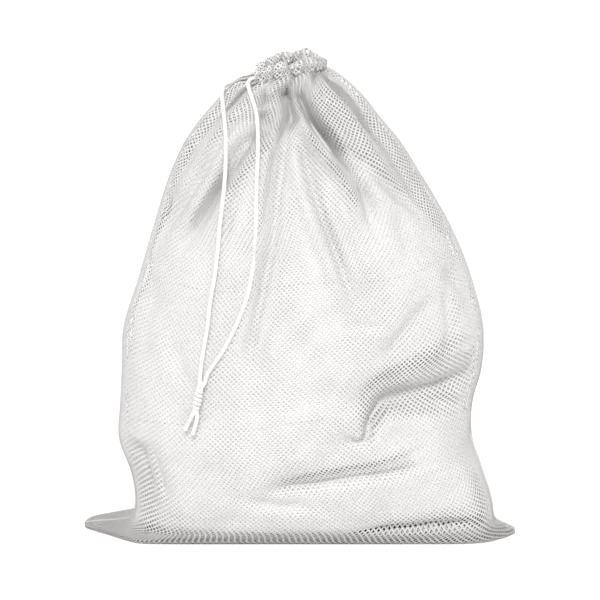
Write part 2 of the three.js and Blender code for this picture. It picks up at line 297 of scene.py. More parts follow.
# The lines that the cord's middle follows: in the casing, out of it, and down the bag
CASING_ROUTE = [
    (-0.062, -0.015, 0.657), (-0.05, -0.022, 0.663), (-0.033, -0.026, 0.669), (-0.014, -0.026, 0.673),
    (0.006, -0.024, 0.676), (0.024, -0.017, 0.677), (0.033, -0.001, 0.675), (0.024, 0.016, 0.678),
    (0.006, 0.023, 0.68), (-0.014, 0.026, 0.678), (-0.033, 0.026, 0.672), (-0.049, 0.022, 0.665),
    (-0.061, 0.017, 0.659),
]
CASING_RIGHT = 6  # the casing's point on the right side seam
LEFT_LEAD = [
    (-0.073, 0.018, 0.652), (-0.085, 0.0175, 0.647), (-0.097, 0.014, 0.643), (-0.105, 0.006, 0.64),
    (-0.1075, -0.006, 0.638),
]
RIGHT_LEAD = [(-0.0685, -0.017, 0.655)]
LEFT_RUN = [
    (-0.1085, -0.017, 0.632), (-0.107, -0.0275, 0.62), (-0.105, -0.0385, 0.603), (-0.103, -0.049, 0.58),
    (-0.103, -0.058, 0.55), (-0.105, -0.0675, 0.517), (-0.1085, -0.0745, 0.485), (-0.112, -0.082, 0.455),
    (-0.1145, -0.0885, 0.425), (-0.119, -0.095, 0.39), (-0.125, -0.1005, 0.355), (-0.129, -0.1045, 0.32),
    (-0.1345, -0.1085, 0.288), (-0.138, -0.1115, 0.262), (-0.1395, -0.1134, 0.244),
]
RIGHT_RUN = [
    (-0.072, -0.023, 0.651), (-0.0705, -0.033, 0.644), (-0.066, -0.041, 0.632), (-0.061, -0.049, 0.616),
    (-0.0585, -0.058, 0.592), (-0.0585, -0.0675, 0.56), (-0.06, -0.0765, 0.523), (-0.061, -0.086, 0.484),
    (-0.062, -0.095, 0.446), (-0.065, -0.1015, 0.41), (-0.0715, -0.1075, 0.374), (-0.0815, -0.1105, 0.344),
    (-0.0935, -0.112, 0.316), (-0.107, -0.113, 0.29), (-0.121, -0.1136, 0.269), (-0.1295, -0.114, 0.255),
    (-0.1328, -0.1142, 0.244),
]
KNOT_TOP, KNOT_BOTTOM = np.array((-0.138, -0.1146, 0.242)), np.array((-0.1465, -0.1152, 0.200))
LEFT_RUN_END, RIGHT_RUN_END = KNOT_TOP + (-0.0012, 0, -0.004), KNOT_TOP + (0.0012, 0, -0.004)
LEFT_TAIL = [(-0.148, -0.1150, 0.204), (-0.150, -0.1146, 0.1972), (-0.153, -0.1138, 0.191),
             (-0.1565, -0.1126, 0.183), (-0.1605, -0.1114, 0.174)]
RIGHT_TAIL = [(-0.1445, -0.1152, 0.204), (-0.1433, -0.1154, 0.1966), (-0.1445, -0.1146, 0.188),
              (-0.147, -0.1136, 0.178), (-0.1495, -0.1128, 0.168)]
BRAID_STEP = 0.0009
BRAID_SIDES = 24
BRAID_PITCH = 0.0085  # one turn of a strand
BRAID_STRANDS = 4  # each way round
BRAID_RELIEF = 0.11  # of the radius
BRAID_SHARPNESS = 1.5
LEAST_END = 0.02  # of the cord's section, at a rounded end's very tip


def braid(radius, ends=0.0):
    """The surface of a braid: strands going both ways round, over and under each other. ends is how
    far it rounds off at its ends."""
    def surface(along, angle):
        turn = 2 * np.pi * along / BRAID_PITCH
        right = np.abs(np.cos(BRAID_STRANDS * (angle - turn) / 2))
        left = np.abs(np.cos(BRAID_STRANDS * (angle + turn) / 2))
        over = np.maximum(right, left) ** BRAID_SHARPNESS
        shape = radius * (1 - BRAID_RELIEF + BRAID_RELIEF * over)
        if ends:
            from_end = np.clip(np.minimum(along, along.max() - along) / ends, 0, 1)
            shape = shape * np.sqrt(np.clip(from_end * (2 - from_end), LEAST_END, 1))
        return shape
    return surface


def cord_run(name, points, step=BRAID_STEP, ends=0.0):
    line = spline(points, step)
    return tube(name, line, braid(CORD / 2, ends), BRAID_SIDES, BRAID), line


left_run, left_line = cord_run("drawcord_left", [CASING_ROUTE[-1], *LEFT_LEAD, *LEFT_RUN, LEFT_RUN_END])
right_run, right_line = cord_run("drawcord_right", [CASING_ROUTE[0], *RIGHT_LEAD, *RIGHT_RUN, RIGHT_RUN_END])
hidden, _ = cord_run("drawcord_inside", CASING_ROUTE)

# The knot: both cords pass down its middle, and one of them is wrapped round the pair
KNOT_TURNS = 5.5
KNOT_RADIUS = 0.0040  # from the knot's axis to the middle of the wrapped cord
KNOT_CORE = 0.0022  # and to the middle of each cord inside it
KNOT_MARGIN = 0.005  # from either end of the knot to the nearest turn
KNOT_OVERLAP = 0.002  # how far the cords inside reach out of it
KNOT_STARTS = [(-0.004, math.pi, 0.0016), (0.001, 0.6, 0.0030)]  # before the turns: along, angle, radius
WRAPPED_HALF, INNER_HALF = 0.0027, 0.0024  # half the cord's thickness, pulled tight
KNOT_SIDES = 18
knot_axis = unit(KNOT_BOTTOM - KNOT_TOP)
knot_length = float(np.linalg.norm(KNOT_BOTTOM - KNOT_TOP))
knot_side = unit(np.cross(knot_axis, (0.0, 1.0, 0.0)))
knot_front = np.cross(knot_side, knot_axis)


def knot_point(along, angle, radius):
    return (KNOT_TOP + knot_axis * along + knot_side * radius * math.cos(angle)
            + knot_front * radius * math.sin(angle))


def knot_lines():
    """The wrapped cord's line, then the two inside it."""
    wrapped = [knot_point(*start) for start in KNOT_STARTS]
    for k in np.linspace(0, 1, 90):
        swell = math.sin(math.pi * (0.1 + 0.8 * k)) ** 0.6
        along = KNOT_MARGIN + k * (knot_length - 2 * KNOT_MARGIN)
        wrapped.append(knot_point(along, 2 * math.pi * KNOT_TURNS * k, KNOT_RADIUS * swell))
    wrapped.append(knot_point(knot_length - KNOT_OVERLAP, 0.4, KNOT_CORE))
    steps = np.linspace(-KNOT_OVERLAP, knot_length + KNOT_OVERLAP, 12)
    inner = [np.array([knot_point(t, angle, KNOT_CORE) for t in steps]) for angle in (0.0, math.pi)]
    return [np.array(wrapped), *inner]


knot_vertices, knot_faces = [], []
for line, half in zip(knot_lines(), (WRAPPED_HALF, INNER_HALF, INNER_HALF)):
    vertices, faces = tube_parts(spline(line, BRAID_STEP), braid(half), KNOT_SIDES)
    knot_faces += [tuple(i + len(knot_vertices) for i in face) for face in faces]
    knot_vertices += vertices.tolist()
knot = make_mesh("drawcord_knot_wrapped", knot_vertices, knot_faces, BRAID)

TAIL_STEP = BRAID_STEP / 1.5
TAIL_ROUNDING = 0.0022
left_tail, _ = cord_run("drawcord_left_end", LEFT_TAIL, TAIL_STEP, TAIL_ROUNDING)
right_tail, _ = cord_run("drawcord_right_end", RIGHT_TAIL, TAIL_STEP, TAIL_ROUNDING)

# ---- The bag's cloth, before its folds ----
TIP = 0.3045
TIP_Y = (0.015, -0.020)
EDGE = 0.0009  # from the seam's middle to a panel's edge
FLAP_HEIGHT = 0.005
UNDERSIDE = 0.0006
# (height, left edge, right edge, half depth, squareness)
SECTIONS = [
    (0.014, -0.233, 0.271, 0.084, 4.5), (0.043, -0.229, 0.268, 0.096, 3.8),
    (0.087, -0.236, 0.254, 0.108, 3.2), (0.13, -0.252, 0.24, 0.115, 2.7), (0.188, -0.25, 0.24, 0.118, 2.5),
    (0.232, -0.248, 0.252, 0.118, 2.4), (0.29, -0.246, 0.255, 0.115, 2.3),
    (0.362, -0.225, 0.239, 0.108, 2.2), (0.435, -0.204, 0.211, 0.095, 2.1), (0.521, -0.177, 0.163, 0.074, 2),
    (0.565, -0.157, 0.136, 0.06, 2), (0.6, -0.132, 0.107, 0.049, 2), (0.623, -0.112, 0.09, 0.042, 2),
]
FRONT_FOOTPRINT = [
    (-0.3045, 0.015), (-0.302, 0), (-0.29, -0.016), (-0.268, -0.039), (-0.247, -0.064), (-0.23, -0.079),
    (-0.19, -0.083), (-0.08, -0.083), (0.02, -0.083), (0.15, -0.083), (0.24, -0.081), (0.262, -0.074),
    (0.281, -0.058), (0.297, -0.038), (0.3045, -0.02),
]
BACK_FOOTPRINT = [
    (-0.3045, 0.015), (-0.3035, 0.032), (-0.298, 0.047), (-0.274, 0.06), (-0.245, 0.072), (-0.215, 0.081),
    (-0.12, 0.083), (0.02, 0.083), (0.13, 0.083), (0.18, 0.081), (0.215, 0.066), (0.245, 0.036),
    (0.27, 0.006), (0.29, -0.012), (0.3045, -0.02),
]
NECK_STEPS = [0.2, 0.4, 0.6, 0.8, 1.0]
SHOULDER_RISE = (0.013, 0.007)  # left and right
NECK_BULGE = 0.004
NECK_TUCK = 0.008  # how far a panel's top edge lies below the cord in the casing
FINE = 420  # points across a panel, before it is laid out in cells
ROW_STEP = 0.003
FLAT_WIDTH, FLAT_LENGTH = 0.610, 0.880
PITCH = 0.0052  # from hole to hole along the net's diagonals
CELL = PITCH / math.sqrt(2)


def bottom_row(side):
    x = np.linspace(-TIP, TIP, FINE)
    y = np.interp(x, (-TIP, TIP), TIP_Y) + side * EDGE
    return np.stack([x, y, np.full(FINE, UNDERSIDE)], axis=1)


def foot_row(side, height):
    outline = spline(FRONT_FOOTPRINT if side < 0 else BACK_FOOTPRINT, 0.004)
    row = even(outline, FINE)
    return np.column_stack([row[:, 0], row[:, 1] + side * EDGE, np.full(FINE, height)])


def section_row(side, section):
    height, left, right, depth, square = section
    t = np.linspace(0, 1, 4 * FINE)
    across = -np.cos(np.pi * t)
    x = (left + right) / 2 + (right - left) / 2 * np.sign(across) * np.abs(across) ** (2 / square)
    y = side * (EDGE + depth * np.sin(np.pi * t).clip(0) ** (2 / square))
    return even(np.stack([x, y, np.full_like(x, height)], axis=1), FINE)


casing_line = spline(CASING_ROUTE, 0.0005)
right_index = int(np.argmin(np.linalg.norm(casing_line - np.array(CASING_ROUTE[CASING_RIGHT]), axis=1)))


def neck_row(side):
    """The panel's top edge, tucked into the casing."""
    half = casing_line[:right_index + 1] if side < 0 else casing_line[right_index:][::-1]
    row = even(half, FINE)
    row[:, 2] -= NECK_TUCK
    return row


def base_rows(side):
    rows = [bottom_row(side), foot_row(side, UNDERSIDE), foot_row(side, FLAP_HEIGHT)]
    rows += [section_row(side, section) for section in SECTIONS]
    shoulder, top = rows[-1], neck_row(side)
    facing = np.sin(np.linspace(0, np.pi, FINE))
    for step in NECK_STEPS:
        bulge = math.sin(math.pi * step)
        row = shoulder * (1 - step) + top * step
        row[:, 1] += side * NECK_BULGE * bulge * facing
        row[:, 2] += np.where(np.arange(FINE) < FINE / 2, *SHOULDER_RISE) * bulge * (1 - facing)
        rows.append(row)
    return np.array(rows)


def fill_between(rows, straight):
    """Closer rows on a smooth curve through the given ones; the first few steps stay straight."""
    gaps = np.linalg.norm(np.diff(rows, axis=0), axis=2).mean(axis=1)
    slopes = np.diff(rows, axis=0) / gaps[:, None, None]
    bend = np.empty_like(rows)
    bend[0], bend[-1] = slopes[0], slopes[-1]
    for i in range(1, len(rows) - 1):
        before, after = gaps[i - 1], gaps[i]
        bend[i] = (slopes[i - 1] * after + slopes[i] * before) / (before + after)
    bend[straight] = slopes[straight]
    filled = []
    for i, gap in enumerate(gaps):
        low, high = rows[i], rows[i + 1]
        for t in np.arange(0, 1, 1 / max(2, round(gap / ROW_STEP))):
            if i < straight:
                filled.append(low * (1 - t) + high * t)
            else:
                filled.append((2 * t ** 3 - 3 * t ** 2 + 1) * low + (3 * t ** 2 - 2 * t ** 3) * high
                              + (t ** 3 - 2 * t ** 2 + t) * gap * bend[i]
                              + (t ** 3 - t ** 2) * gap * bend[i + 1])
    return np.array([*filled, rows[-1]])


def blur(grid, width, axis):
    """Gaussian smoothing of a grid of points; its borders stay where they are."""
    reach = int(3 * width)
    weights = np.exp(-0.5 * (np.arange(-reach, reach + 1) / width) ** 2)
    weights /= weights.sum()
    grid = np.moveaxis(grid, axis, 0)
    first, last = grid[:1], grid[-1:]
    padded = np.concatenate([2 * first - grid[reach:0:-1], grid, 2 * last - grid[-2:-reach - 2:-1]])
    done = sum(w * padded[k:k + len(grid)] for k, w in enumerate(weights))
    return np.moveaxis(done, 0, axis)


def grid_normals(grid, side):
    """Unit normals of a panel's grid of points, facing out of the bag."""
    across, up = np.gradient(grid, axis=1), np.gradient(grid, axis=0)
    return unit(np.cross(across, up)) * -side


# ---- Folds ----
# Each fold: where it runs (x, z), half width, height (negative is a valley), and lean: how much the
# cloth to the right of its run swells beside it, or to the left where it is negative
FRONT_FOLDS = [
    ([(-0.03, 0.65), (-0.016, 0.632), (-0.008, 0.612), (-0.012, 0.59)], 0.012, -0.024, 0),
    ([(-0.062, 0.632), (-0.048, 0.642), (-0.03, 0.64), (-0.026, 0.615), (-0.034, 0.585),
      (-0.04, 0.55)], 0.008, 0.01, 0),
    ([(0.012, 0.668), (0.018, 0.64), (0.034, 0.612), (0.06, 0.578), (0.096, 0.534)], 0.013, 0.01, 0),
    ([(-0.01, 0.612), (-0.018, 0.591), (-0.03, 0.517), (-0.04, 0.441), (-0.053, 0.374), (-0.066, 0.311),
      (-0.079, 0.227)], 0.009, -0.01, 0.45),
    ([(0.004, 0.6), (0.006, 0.566), (0.022, 0.501), (0.038, 0.456), (0.058, 0.405), (0.079, 0.353),
      (0.097, 0.324)], 0.008, -0.0085, 0.6),
    ([(0.012, 0.635), (0.022, 0.6), (0.048, 0.57), (0.079, 0.539), (0.095, 0.489), (0.103, 0.453),
      (0.113, 0.43)], 0.009, -0.0105, 0.7),
    ([(-0.002, 0.662), (0.002, 0.635), (0.014, 0.608), (0.036, 0.577), (0.058, 0.546),
      (0.084, 0.508)], 0.007, -0.014, 0.9),
    ([(0.05, 0.59), (0.1, 0.535), (0.15, 0.49), (0.19, 0.45)], 0.009, -0.008, 0.7),
    ([(0.032, 0.668), (0.055, 0.643), (0.08, 0.612), (0.1, 0.585), (0.12, 0.55)], 0.006, -0.009, 0.5),
    ([(0.04, 0.52), (0.07, 0.47), (0.1, 0.4), (0.13, 0.35)], 0.01, -0.004, 0.4),
    ([(0.13, 0.49), (0.145, 0.44), (0.15, 0.4)], 0.009, -0.0045, 0.3),
    ([(0.196, 0.365), (0.152, 0.318), (0.126, 0.283), (0.116, 0.257)], 0.011, -0.009, -0.6),
    ([(0.07, 0.328), (0.098, 0.322), (0.128, 0.326)], 0.006, -0.004, 0.5),
    ([(0.2, 0.4), (0.214, 0.385), (0.235, 0.359), (0.25, 0.325)], 0.01, -0.009, 0),
    ([(0.09, 0.178), (0.112, 0.207), (0.145, 0.219), (0.18, 0.223), (0.215, 0.23),
      (0.256, 0.255)], 0.014, -0.024, -0.35),
    ([(0.12, 0.2), (0.16, 0.203), (0.2, 0.202), (0.24, 0.196)], 0.012, -0.012, 0),
    ([(0.128, 0.21), (0.1, 0.185), (0.092, 0.16), (0.071, 0.158), (0.05, 0.176)], 0.0065, -0.011, 0.3),
    ([(-0.055, 0.082), (0.027, 0.093), (0.105, 0.106), (0.157, 0.115), (0.205, 0.12)], 0.0055, -0.009, -0.4),
    ([(0.08, 0.016), (0.15, 0.024), (0.21, 0.027), (0.268, 0.024)], 0.007, -0.011, 0.4),
    ([(-0.238, 0.15), (-0.222, 0.105), (-0.214, 0.05)], 0.016, -0.014, 0),
    ([(-0.212, 0.15), (-0.198, 0.1), (-0.184, 0.06)], 0.007, -0.006, 0.5),
    ([(-0.045, 0.614), (-0.056, 0.59), (-0.087, 0.564), (-0.113, 0.513), (-0.133, 0.476), (-0.157, 0.438),
      (-0.18, 0.395)], 0.008, -0.0115, 0.6),
    ([(-0.08, 0.622), (-0.092, 0.601), (-0.128, 0.546), (-0.164, 0.486), (-0.19, 0.441),
      (-0.203, 0.399)], 0.008, -0.009, 0.6),
    ([(-0.1, 0.624), (-0.112, 0.606), (-0.154, 0.556), (-0.175, 0.512)], 0.007, -0.006, 0.4),
    ([(-0.062, 0.575), (-0.08, 0.52), (-0.1, 0.465), (-0.112, 0.42)], 0.007, -0.005, 0.5),
    ([(-0.196, 0.382), (-0.216, 0.318), (-0.224, 0.245)], 0.012, -0.005, 0),
    ([(-0.058, 0.611), (-0.036, 0.622)], 0.005, 0.006, 0),
    ([(0.206, 0.372), (0.211, 0.322), (0.204, 0.266)], 0.008, -0.006, 0),
    ([(-0.18, 0.3), (-0.165, 0.255), (-0.15, 0.225)], 0.01, -0.004, 0),
    ([(-0.1, 0.075), (-0.03, 0.06), (0.05, 0.062)], 0.009, -0.003, 0.5),
]
# Where the spare cloth is gathered into tight creases, from the casing down; seen from the front
GATHER_WIDTH = 0.0025
GATHER_DEPTH = 0.0055
GATHERED = (0.42, 0.10)  # the height where the creases start to take up cloth, and over how much
FRONT_GATHERS = [
    [(-0.064, 0.652), (-0.085, 0.632), (-0.105, 0.606), (-0.128, 0.575), (-0.15, 0.54), (-0.172, 0.5),
     (-0.19, 0.45)],
    [(-0.047, 0.648), (-0.05, 0.62), (-0.06, 0.585), (-0.084, 0.541), (-0.118, 0.505), (-0.14, 0.471),
     (-0.165, 0.43)],
    [(-0.026, 0.652), (-0.018, 0.628), (-0.014, 0.605), (-0.026, 0.585), (-0.038, 0.56), (-0.044, 0.52),
     (-0.054, 0.45)],
    [(-0.006, 0.662), (0.002, 0.635), (0.014, 0.608), (0.036, 0.577), (0.058, 0.546), (0.084, 0.508),
     (0.102, 0.45)],
    [(0.024, 0.668), (0.045, 0.65), (0.068, 0.625), (0.092, 0.59), (0.118, 0.55), (0.145, 0.51),
     (0.175, 0.455)],
]
BACK_GATHERS = [
    [(-0.056, 0.655), (-0.084, 0.62), (-0.122, 0.57), (-0.16, 0.5), (-0.18, 0.45)],
    [(-0.038, 0.66), (-0.056, 0.61), (-0.08, 0.55), (-0.104, 0.5), (-0.125, 0.44)],
    [(-0.016, 0.665), (-0.02, 0.6), (-0.02, 0.53), (-0.024, 0.44)],
    [(0.006, 0.665), (0.024, 0.61), (0.05, 0.54), (0.075, 0.44)],
    [(0.026, 0.662), (0.06, 0.62), (0.1, 0.56), (0.14, 0.49), (0.16, 0.45)],
]
# The back's folds fan down from the neck
BACK_FOLDS = [
    ([(0.02, 0.65), (0.034, 0.59), (0.06, 0.5), (0.088, 0.4)], 0.012, -0.011, 0.4),
    ([(-0.018, 0.65), (-0.022, 0.58), (-0.02, 0.47), (-0.03, 0.36)], 0.012, -0.012, 0.3),
    ([(-0.048, 0.645), (-0.07, 0.58), (-0.104, 0.5), (-0.14, 0.41)], 0.011, -0.01, 0.5),
    ([(0.002, 0.648), (0.006, 0.56), (0.024, 0.45)], 0.009, -0.007, 0.2),
    ([(0.04, 0.64), (0.08, 0.57), (0.126, 0.5), (0.165, 0.43)], 0.011, -0.008, 0.6),
    ([(-0.075, 0.625), (-0.12, 0.555), (-0.165, 0.475)], 0.009, -0.006, 0.4),
    ([(-0.215, 0.2), (-0.15, 0.178), (-0.08, 0.172), (-0.02, 0.185)], 0.012, -0.012, 0.5),
    ([(0.07, 0.255), (0.13, 0.232), (0.19, 0.236), (0.235, 0.262)], 0.011, -0.01, 0.4),
    ([(-0.12, 0.082), (-0.03, 0.1), (0.06, 0.096), (0.13, 0.078)], 0.008, -0.007, 0.8),
    ([(-0.2, 0.33), (-0.16, 0.3), (-0.12, 0.292)], 0.012, -0.006, 0),
]
RIPPLES = [(61, 17, 0.3, 0.0011), (-34, 58, 1.9, 0.0009), (23, -39, 4.1, 0.0014), (118, 64, 2.2, 0.0004),
           (-97, 131, 5.0, 0.0004), (151, -88, 0.9, 0.0003)]
PLEATS = 11  # gathers of one panel where it meets the casing
PLEAT_HEIGHT = 0.0045
PLEAT_SHARE = {-1: 0.35, 1: 0.6}  # of that height, at the front and at the back
PLEATS_RISE = (0.600, 0.06)  # the height they start at, and over how much they grow
SEAM_PUCKER = 0.0016
PUCKER_PITCH = 0.026
PUCKER_REACH = 0.035  # from a seam, as a share of the panel's width
SEAM_CALM = 0.09  # share of the panel's width beside a seam in which the folds die out
FOOT_CALM = (0.008, 0.02)  # they start at this height, and grow over this much
FOLD_DEPTH = 1.35  # times the depths in the tables
FOLD_START, FOLD_END = 0.25, 0.35  # shares of its run over which a fold grows and dies out
SWELL_AWAY, SWELL_WIDTH = 1.9, 1.3  # of the swell beside a fold, in the fold's half widths


def fold_height(x, z, folds):
    """How far a table's folds lift the places (x, z), or sink them."""
    height = np.zeros_like(x)
    for points, width, depth, lean in folds:
        line = spline([(a, b, 0.0) for a, b in points], 0.006)[:, :2]
        best = np.full(x.shape, 1e9)
        signed, along = np.zeros_like(x), np.zeros_like(x)
        for k, (a, b) in enumerate(zip(line, line[1:])):
            run = b - a
            t = np.clip(((x - a[0]) * run[0] + (z - a[1]) * run[1]) / (run @ run), 0, 1)
            dx, dz = x - a[0] - t * run[0], z - a[1] - t * run[1]
            away = np.hypot(dx, dz)
            nearer = away < best
            best = np.where(nearer, away, best)
            signed = np.where(nearer, away * np.sign(run[0] * dz - run[1] * dx), signed)
            along = np.where(nearer, (k + t) / (len(line) - 1), along)
        taper = smoothstep(np.minimum(along / FOLD_START, 1) * 0.8 + 0.2) * smoothstep((1 - along) / FOLD_END)
        height += FOLD_DEPTH * depth * taper * np.exp(-(best / width) ** 2)
        swell = (signed + np.sign(lean) * SWELL_AWAY * width) / (SWELL_WIDTH * width)
        height -= FOLD_DEPTH * depth * lean * taper * np.exp(-swell ** 2)
    return height


def relief(side, grid):
    """How far the cloth stands out of, or lies under, its plain shape."""
    x, z = grid[..., 0], grid[..., 2]
    q = np.linspace(0, 1, grid.shape[1])[None, :]
    height = fold_height(x, z, FRONT_FOLDS if side < 0 else BACK_FOLDS)
    height -= GATHER_DEPTH * gathers(side, x, z, 2 * GATHER_WIDTH)
    for a, b, phase, size in RIPPLES:
        height += size * np.sin(a * x + b * z + phase + 2 * side)
    gather = rising(z, *PLEATS_RISE) * PLEAT_SHARE[side]
    swing = q * PLEATS + 0.25 * np.sin(9 * q + side) + 0.1 * np.sin(23 * q)
    height += gather * PLEAT_HEIGHT * np.sin(2 * np.pi * swing)
    edge = np.minimum(q, 1 - q)
    pucker = np.sin(2 * np.pi * z / PUCKER_PITCH + 3 * np.sin(z * 31))
    height += SEAM_PUCKER * pucker * np.exp(-(edge / PUCKER_REACH) ** 2)
    return height * smoothstep(edge / SEAM_CALM) * rising(z, *FOOT_CALM)


def gathers(side, x, z, width):
    """1 in the tight creases under the casing, falling to 0 beside them."""
    lines = []
    for points in FRONT_GATHERS if side < 0 else BACK_GATHERS:
        (xa, za), (xb, zb) = points[:2]
        lines.append(([(2 * xa - xb, 2 * za - zb), *points], width, 1 / FOLD_DEPTH, 0.0))
    return fold_height(x, z, lines)


def gather_weights(side, grid):
    """How much closer together the net's columns lie: the creases take up all the spare width."""
    crease = gathers(side, grid[..., 0], grid[..., 2], GATHER_WIDTH)
    steps = np.linalg.norm(np.diff(grid, axis=1), axis=2)
    taken = (steps * (crease[:, 1:] + crease[:, :-1]) / 2).sum(axis=1)
    spare = (FLAT_WIDTH - steps.sum(axis=1)).clip(0) * rising(grid[..., 2].mean(axis=1), *GATHERED)
    return 1 + crease * (spare / np.maximum(taken, 1e-4))[:, None]


def lay_out(lines, guides, weights, count, steady=0.0):
    """count points on each line, evenly along its guide (the same line with its folds smoothed away), and
    closer together where the weight is higher. Their places are evened out over steady lines."""
    places = []
    for guide, weight in zip(guides, weights):
        steps = np.linalg.norm(np.diff(guide, axis=0), axis=1) * (weight[1:] + weight[:-1]) / 2
        along = np.concatenate([[0], np.cumsum(steps)])
        places.append(np.interp(np.linspace(0, along[-1], count), along, np.arange(len(along))))
    places = np.array(places)
    if steady:
        places = blur(places[..., None], steady, axis=0)[..., 0]
    number = np.arange(lines.shape[1])
    return np.array([read_at(at, number, line) for line, at in zip(lines, places)])


# Widths of smoothing, in points or lines
ROW_BLUR = 2.0
COLUMN_GUIDE_BLUR, COLUMN_STEADY = (6.0, 3.0), 6.0
ROW_GUIDE_BLUR, ROW_STEADY = (8.0, 4.0), 5.0


def panel(side):
    """The panel's points one cell apart, and its plain folded surface in level rows."""
    rows = fill_between(base_rows(side), straight=3)
    rows = blur(rows, ROW_BLUR, axis=0)
    rows[..., 2] = rows[..., 2].clip(UNDERSIDE)
    folded = rows + grid_normals(rows, side) * relief(side, rows)[..., None]
    folded[..., 2] = folded[..., 2].clip(UNDERSIDE)
    columns = 2 * round(FLAT_WIDTH / CELL / 2) + 1
    guides = blur(blur(folded, COLUMN_GUIDE_BLUR[0], axis=1), COLUMN_GUIDE_BLUR[1], axis=0)
    folded = lay_out(folded, guides, gather_weights(side, guides), columns, COLUMN_STEADY)
    middle = folded[:, columns // 2]
    count = 2 * round(length_of(middle) / CELL / 2) + 1
    upright = folded.transpose(1, 0, 2)
    guides = blur(blur(upright, ROW_GUIDE_BLUR[0], axis=0), ROW_GUIDE_BLUR[1], axis=1)
    cells = lay_out(upright, guides, np.ones(upright.shape[:2]), count, ROW_STEADY).transpose(1, 0, 2)
    return cells, folded


front_cells, front_surface = panel(-1)
back_cells, back_surface = panel(1)

# ---- The net ----
HOLE = 0.60  # of a cell's width
HOLE_VARIATION = 0.03
YARN_RISE = 0.0004


def net_parts(cells, side, hole, shift=0, keep=True):
    """Knitted net over a grid of points: the yarns cross at every other point, and between them
    is a hole. Crossings stand proud, and the yarn falls away into the holes."""
    rows, columns = cells.shape[:2]
    normal = grid_normals(cells, side)
    i, j = np.meshgrid(np.arange(rows), np.arange(columns), indexing="ij")
    crossing = (i + j + shift) % 2 == 0
    number = np.cumsum(crossing).reshape(crossing.shape) - 1
    knots = cells[crossing] + normal[crossing] * YARN_RISE
    inner = ~crossing & keep & (i > 0) & (i < rows - 1) & (j > 0) & (j < columns - 1)
    ci, cj = i[inner], j[inner]
    middle = cells[ci, cj] - normal[ci, cj] * YARN_RISE
    size = hole * (1 + HOLE_VARIATION * rng.standard_normal(len(ci)))[:, None]
    steps = [(0, 1), (1, 0), (0, -1), (-1, 0)]
    if side > 0:
        steps.reverse()
    corners = [number[ci + a, cj + b] for a, b in steps]
    rims = [middle + size * (cells[ci + a, cj + b] - cells[ci, cj]) for a, b in steps]
    first = len(knots)
    vertices = np.vstack([knots, *rims])
    count = len(ci)
    faces = []
    for k in range(4):
        n = (k + 1) % 4
        rim, next_rim = first + k * count + np.arange(count), first + n * count + np.arange(count)
        faces.append(np.stack([corners[k], corners[n], next_rim, rim], axis=1))
    faces = np.vstack(faces)
    used = np.unique(faces)
    renumber = np.zeros(len(vertices), int)
    renumber[used] = np.arange(len(used))
    return vertices[used], renumber[faces]


TUCK_GAP = 0.005
TUCK_HOLE = 0.5
TUCK_BLUR = 2.0
TUCK_LIFT = 0.0012  # the least height over the underside
# Where the laundry lies against the front net: between these heights (x, z), and these edges
# (z, left, right)
TOUCH_TOP = [
    (-0.15, 0.56), (-0.1, 0.606), (-0.055, 0.612), (-0.036, 0.592), (-0.016, 0.588), (0.004, 0.616),
    (0.02, 0.604), (0.038, 0.592), (0.08, 0.548), (0.13, 0.508), (0.183, 0.466), (0.206, 0.42),
]
TOUCH_FOOT = [(-0.24, 0.016), (-0.1, 0.008), (0.05, 0.011), (0.11, 0.022), (0.2, 0.03), (0.27, 0.026)]
TOUCH_SIDES = [
    (0, -0.216, 0.262), (0.06, -0.206, 0.256), (0.145, -0.212, 0.24), (0.17, -0.252, 0.24),
    (0.255, -0.252, 0.255), (0.275, -0.25, 0.214), (0.37, -0.225, 0.212), (0.42, -0.21, 0.206),
    (0.6, -0.14, 0.206),
]
# Clefts between the laundry's folds, behind the net, in the same form as the folds
CLEFTS = [
    ([(-0.03, 0.592), (-0.06, 0.567), (-0.084, 0.541), (-0.118, 0.505), (-0.14, 0.471),
      (-0.165, 0.43)], 0.006, -0.02, 0),
    ([(-0.03, 0.6), (-0.038, 0.56), (-0.044, 0.52), (-0.054, 0.46), (-0.062, 0.4)], 0.008, -0.008, 0),
    ([(0.01, 0.615), (0.034, 0.577), (0.054, 0.546), (0.076, 0.505), (0.09, 0.465)], 0.007, -0.022, 0),
    ([(0.09, 0.192), (0.112, 0.218), (0.145, 0.232), (0.18, 0.24), (0.215, 0.25),
      (0.262, 0.276)], 0.016, -0.034, 0),
    ([(0.13, 0.208), (0.165, 0.208), (0.205, 0.208), (0.24, 0.204)], 0.015, -0.022, 0),
    ([(0.128, 0.21), (0.1, 0.185), (0.092, 0.165), (0.071, 0.158)], 0.005, -0.014, 0),
    ([(-0.045, 0.088), (0.027, 0.099), (0.105, 0.113), (0.157, 0.122), (0.2, 0.127)], 0.005, -0.018, 0),
    ([(0.01, 0.56), (0.024, 0.5), (0.045, 0.44), (0.08, 0.355)], 0.004, -0.008, 0),
]


def tucked(cells, side, keep):
    """The panel's spare cloth, folded in behind the part of it that stands clear of the laundry."""
    inside = blur(blur(cells, TUCK_BLUR, axis=0), TUCK_BLUR, axis=1)
    inside = inside - grid_normals(inside, side) * TUCK_GAP
    inside[..., 2] = inside[..., 2].clip(UNDERSIDE + TUCK_LIFT)
    return net_parts(inside, side, TUCK_HOLE, shift=1, keep=keep)


def clear_of_laundry(x, z):
    """How far a place on the front lies beyond the laundry that touches the net; negative on it."""
    top, sides = np.array(TOUCH_TOP), np.array(TOUCH_SIDES)
    beyond = z - np.interp(x, top[:, 0], top[:, 1])
    for column, sign in ((1, -1), (2, 1)):
        beyond = np.maximum(beyond, sign * (x - np.interp(z, sides[:, 0], sides[:, column])))
    foot = np.array(TOUCH_FOOT)
    return np.maximum(beyond, np.interp(x, foot[:, 0], foot[:, 1]) - z)


